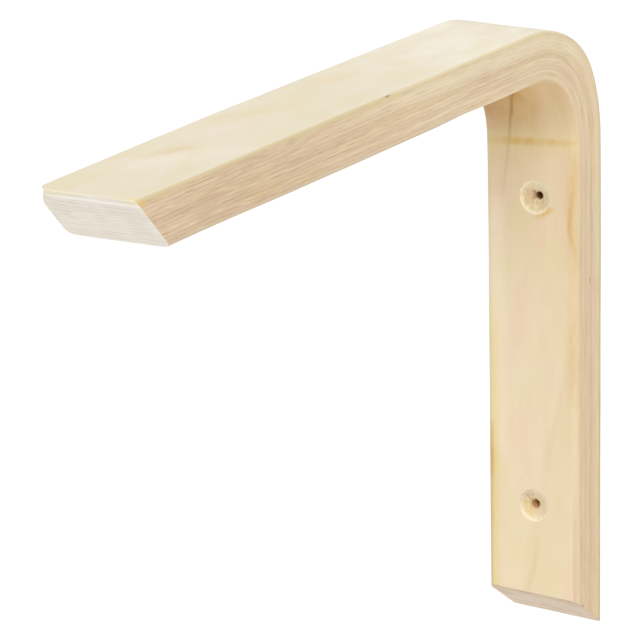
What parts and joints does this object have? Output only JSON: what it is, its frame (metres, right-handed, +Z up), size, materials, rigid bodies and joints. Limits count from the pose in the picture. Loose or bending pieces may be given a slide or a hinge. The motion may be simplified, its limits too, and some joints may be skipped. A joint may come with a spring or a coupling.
{
  "type": "bent plywood shelf bracket",
  "caption": "L-shaped wall bracket pressed from one strip of birch plywood, with a round bend, slanted sawn ends and countersunk screw holes in its leg.",
  "frame": {"origin": "on the back face of the leg, in the middle of its width and midway between the two screw holes", "axes": "+Y is into the wall, so the arm reaches out along -Y; +Z is up, out of the arm's top face; X runs across the strip"},
  "size_m": [0.04, 0.3, 0.25],
  "materials": {
    "birch_ply": "bare sanded birch plywood"
  },
  "bodies": {
    "root": {"bent_ply_bracket": "birch_ply"}
  },
  "joints": []
}
